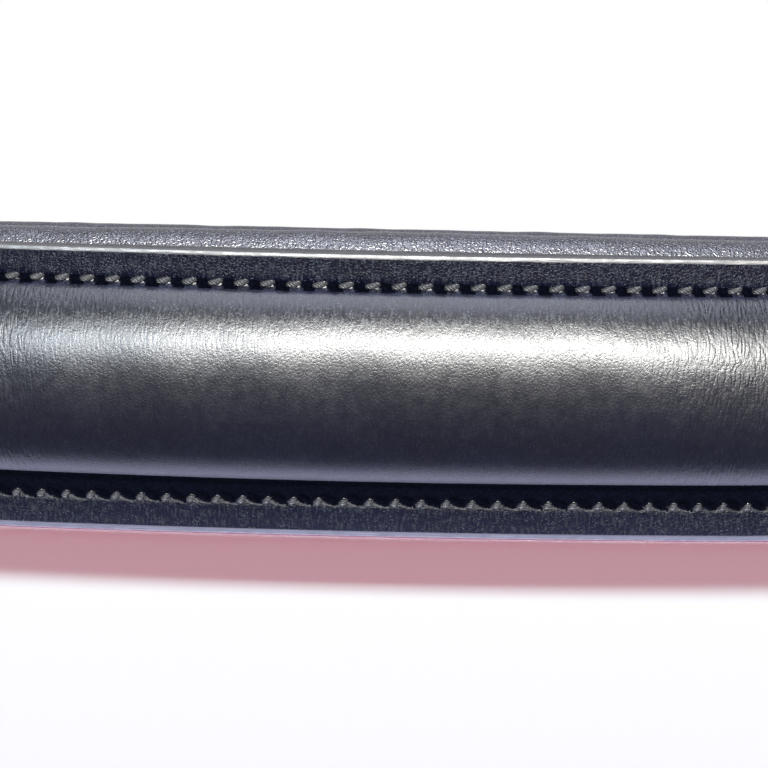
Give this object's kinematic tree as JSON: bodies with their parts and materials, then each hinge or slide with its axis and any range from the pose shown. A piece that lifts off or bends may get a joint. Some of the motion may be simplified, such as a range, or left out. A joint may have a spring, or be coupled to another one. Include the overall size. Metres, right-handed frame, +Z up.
{
  "type": "bridle noseband",
  "caption": "Raised padded leather noseband for a horse bridle, with side rings, a double-back buckled chin strap, chin pad and buckled hangers.",
  "frame": {"origin": "on the floor plane, under the middle of the whole object's box; the loop stands on its lower edge", "axes": "+X from the left ring to the right ring, +Y from the nose towards the chin strap, +Z up along the strap's width"},
  "size_m": [0.2, 0.175, 0.0935],
  "materials": {
    "raised_leather": "smooth black grain leather with a soft gloss",
    "strap_leather": "black strap leather with painted edges",
    "lining_leather": "soft black lining leather",
    "pad_foam": "soft foam, hidden",
    "firm_filler": "pressed felt filler, hidden",
    "polished_steel": "polished stainless steel"
  },
  "bodies": {
    "nosepiece": {"nosepiece_raised_cover": "raised_leather", "nosepiece_base_strap": "strap_leather", "nosepiece_filler": "firm_filler", "nosepiece_pad_lining": "lining_leather", "nosepiece_pad_foam": "pad_foam", "left_ring_chape": "strap_leather", "right_ring_chape": "strap_leather", "left_hanger_strap": "strap_leather", "right_hanger_strap": "strap_leather", "left_hanger_fixed_keeper": "strap_leather", "right_hanger_fixed_keeper": "strap_leather"},
    "left_ring": {"left_ring": "polished_steel"},
    "right_ring": {"right_ring": "polished_steel"},
    "chin": {"chin_ring_chape": "strap_leather", "crank_strap": "strap_leather", "chin_pad_backing": "strap_leather", "chin_pad_lining": "lining_leather", "chin_pad_foam": "pad_foam", "left_pad_loop": "strap_leather", "right_pad_loop": "strap_leather", "buckle_chape": "strap_leather", "crank_fixed_keeper": "strap_leather"},
    "crank_buckle": {"buckle_frame": "polished_steel"},
    "crank_roller": {"buckle_roller": "polished_steel"},
    "crank_tongue": {"buckle_tongue": "polished_steel"},
    "crank_keeper": {"crank_loose_keeper": "strap_leather"},
    "left_buckle": {"left_hanger_buckle": "polished_steel"},
    "right_buckle": {"right_hanger_buckle": "polished_steel"},
    "left_tongue": {"left_hanger_tongue": "polished_steel"},
    "right_tongue": {"right_hanger_tongue": "polished_steel"},
    "left_keeper": {"left_hanger_loose_keeper": "strap_leather"},
    "right_keeper": {"right_hanger_loose_keeper": "strap_leather"}
  },
  "joints": [
    {"name": "left_ring_swing", "type": "hinge", "parent": "nosepiece", "child": "left_ring", "pos_m": [-0.09612, 0.00882, 0.0168], "axis": [0, 0, 1], "range_deg": [-12, 12]},
    {"name": "right_ring_swing", "type": "hinge", "parent": "nosepiece", "child": "right_ring", "pos_m": [0.09612, 0.00882, 0.0168], "axis": [0, 0, 1], "range_deg": [-13, 13]},
    {"name": "chin_swing", "type": "hinge", "parent": "left_ring", "child": "chin", "pos_m": [-0.09302, 0.02604, 0.0168], "axis": [0, 0, 1], "range_deg": [-13, 13]},
    {"name": "crank_buckle_swing", "type": "hinge", "parent": "chin", "child": "crank_buckle", "pos_m": [0.022, 0.08101, 0.0168], "axis": [0, 0, 1], "range_deg": [0, 3]},
    {"name": "crank_tongue_swing", "type": "hinge", "parent": "crank_buckle", "child": "crank_tongue", "pos_m": [0.022, 0.08101, 0.0168], "axis": [0, 0, 1], "range_deg": [0, 8]},
    {"name": "crank_roller_spin", "type": "hinge", "parent": "crank_buckle", "child": "crank_roller", "pos_m": [0.0385, 0.083, 0.0168], "axis": [0, 0, 1], "continuous": true},
    {"name": "crank_keeper_slide", "type": "slide", "parent": "chin", "child": "crank_keeper", "axis": [1, 0, 0], "range_m": [-0.016, 0.005]},
    {"name": "left_buckle_swing", "type": "hinge", "parent": "nosepiece", "child": "left_buckle", "pos_m": [-0.09157, -0.02648, 0.078], "axis": [0.1663, -0.9861, 0], "range_deg": [-30, 30]},
    {"name": "right_buckle_swing", "type": "hinge", "parent": "nosepiece", "child": "right_buckle", "pos_m": [0.09157, -0.02648, 0.078], "axis": [0.1663, 0.9861, 0], "range_deg": [-30, 30]},
    {"name": "left_tongue_swing", "type": "hinge", "parent": "left_buckle", "child": "left_tongue", "pos_m": [-0.09157, -0.02648, 0.078], "axis": [0.1663, -0.9861, 0], "range_deg": [0, 60]},
    {"name": "right_tongue_swing", "type": "hinge", "parent": "right_buckle", "child": "right_tongue", "pos_m": [0.09157, -0.02648, 0.078], "axis": [0.1663, 0.9861, 0], "range_deg": [0, 60]},
    {"name": "left_keeper_slide", "type": "slide", "parent": "nosepiece", "child": "left_keeper", "axis": [0, 0, 1], "range_m": [-0.018, 0.004]},
    {"name": "right_keeper_slide", "type": "slide", "parent": "nosepiece", "child": "right_keeper", "axis": [0, 0, 1], "range_m": [-0.018, 0.004]}
  ],
  "couplings": [
    {"joint": "right_ring_swing", "follows": "left_ring_swing", "ratio": 1},
    {"joint": "chin_swing", "follows": "left_ring_swing", "ratio": -1.0336}
  ]
}
